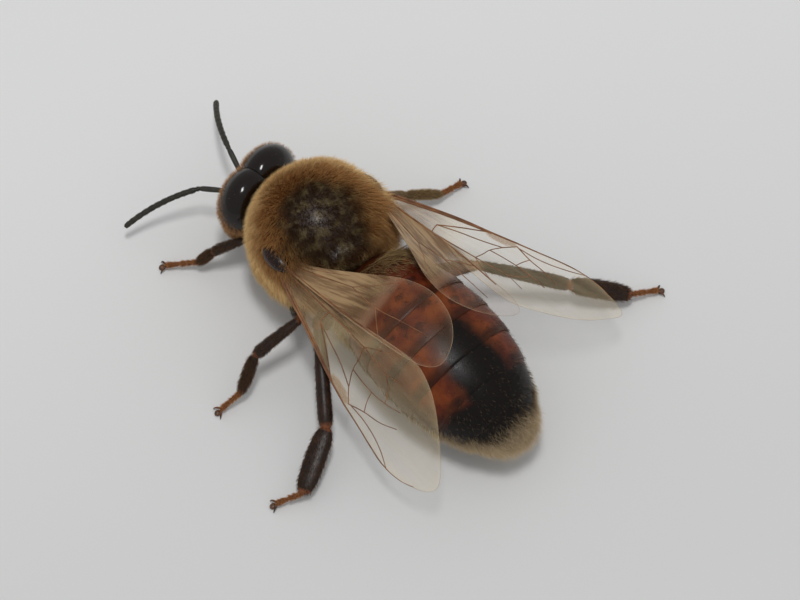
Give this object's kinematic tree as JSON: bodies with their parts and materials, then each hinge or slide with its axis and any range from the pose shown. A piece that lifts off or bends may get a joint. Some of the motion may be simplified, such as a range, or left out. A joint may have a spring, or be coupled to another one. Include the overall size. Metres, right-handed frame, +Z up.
{
  "type": "drone honey bee",
  "caption": "Life-size still model of a male honey bee at rest: furry thorax, russet and black abdomen, large joined eyes, roof-like clear wings and legs spread on the floor.",
  "frame": {"origin": "on the floor, under the middle of the bounding box", "axes": "+Z up, head towards -Y, the bee's left side towards +X"},
  "size_m": [0.0188, 0.0206, 0.0066],
  "materials": {
    "face": "short pale tan hair over dark shell",
    "eye": "glossy near-black brown, finely faceted",
    "horn": "satin dark brown shell of the feelers and mouth",
    "coat": "plush golden tan hair, darker and thinner on top",
    "tegula": "glossy dark chestnut",
    "abdomen": "satin russet and black bands with thin pale hair",
    "membrane": "clear, slightly milky membrane with brown veins",
    "leg": "satin blackish brown shell, bristly",
    "foot": "satin reddish brown, bristly"
  },
  "bodies": {
    "root": {"head": "face", "eye_left": "eye", "eye_right": "eye", "proboscis": "horn", "mandible_left": "horn", "mandible_right": "horn", "pronotum": "coat", "mesothorax": "coat", "scutellum": "coat", "propodeum": "coat", "tegula_left": "tegula", "tegula_right": "tegula", "abdomen_1": "abdomen", "abdomen_2": "abdomen", "abdomen_3": "abdomen", "abdomen_4": "abdomen", "abdomen_5": "abdomen", "abdomen_6": "abdomen", "abdomen_7": "abdomen", "forewing_left": "membrane", "hindwing_left": "membrane", "forewing_right": "membrane", "hindwing_right": "membrane", "antenna_scape_left": "horn", "antenna_flagellum_left": "horn", "antenna_scape_right": "horn", "antenna_flagellum_right": "horn", "coxa_left_fore": "leg", "femur_left_fore": "leg", "tibia_left_fore": "leg", "basitarsus_left_fore": "leg", "tarsus_left_fore": "foot", "coxa_right_fore": "leg", "femur_right_fore": "leg", "tibia_right_fore": "leg", "basitarsus_right_fore": "leg", "tarsus_right_fore": "foot", "coxa_left_middle": "leg", "femur_left_middle": "leg", "tibia_left_middle": "leg", "basitarsus_left_middle": "leg", "tarsus_left_middle": "foot", "coxa_right_middle": "leg", "femur_right_middle": "leg", "tibia_right_middle": "leg", "basitarsus_right_middle": "leg", "tarsus_right_middle": "foot", "coxa_left_hind": "leg", "femur_left_hind": "leg", "tibia_left_hind": "leg", "basitarsus_left_hind": "leg", "tarsus_left_hind": "foot", "coxa_right_hind": "leg", "femur_right_hind": "leg", "tibia_right_hind": "leg", "basitarsus_right_hind": "leg", "tarsus_right_hind": "foot"}
  },
  "joints": []
}
